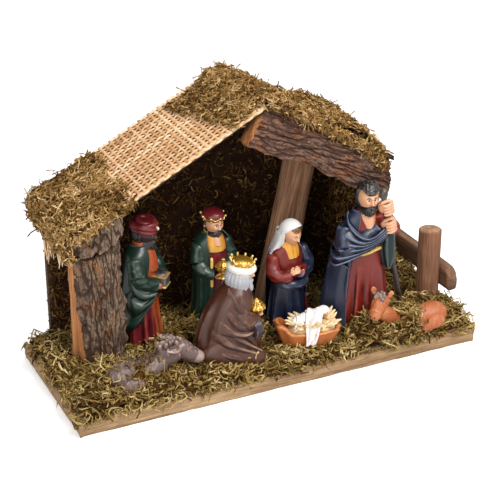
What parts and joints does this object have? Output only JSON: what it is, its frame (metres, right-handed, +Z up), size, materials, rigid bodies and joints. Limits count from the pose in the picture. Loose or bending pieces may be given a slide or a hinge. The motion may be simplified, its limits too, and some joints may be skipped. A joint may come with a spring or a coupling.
{
  "type": "nativity stable",
  "caption": "Rustic wooden nativity stable on a board, with bark posts, a burlap and moss roof, a small fence and glued painted nativity figures.",
  "frame": {"origin": "middle of the base board's underside", "axes": "+X along the front towards the fence end, +Y from the open front to the back wall, +Z up"},
  "size_m": [0.3, 0.1184, 0.1998],
  "materials": {
    "raw_board": "raw sawn softwood, fibrous edge",
    "brown_board": "thin brown-stained board",
    "bark": "rough grey-brown bark with sawn orange wood",
    "stained_log": "brown-stained peeled stick, matte",
    "steel": "plain wire nails",
    "burlap": "coarse open jute weave",
    "moss": "dried olive-brown moss, glued on",
    "painted_casting": "hand-painted cast resin, satin"
  },
  "bodies": {
    "root": {"base_board": "raw_board", "back_wall": "brown_board", "right_wall": "brown_board", "left_roof_panel": "brown_board", "right_roof_panel": "brown_board", "left_post": "bark", "bark_slab": "bark", "prop_log": "stained_log", "front_fence_post": "stained_log", "rear_fence_post": "stained_log", "fence_rail": "stained_log", "base_nails": "steel", "roof_nails": "steel", "rail_nails": "steel", "burlap_cover": "burlap", "moss_bed": "moss", "moss_back_lining": "moss", "moss_side_lining": "moss", "moss_ridge": "moss", "moss_eave": "moss", "turbaned_king": "painted_casting", "crowned_king": "painted_casting", "kneeling_king": "painted_casting", "mother_figure": "painted_casting", "father_figure": "painted_casting", "crib_with_child": "painted_casting", "ox": "painted_casting", "donkey": "painted_casting"}
  },
  "joints": []
}
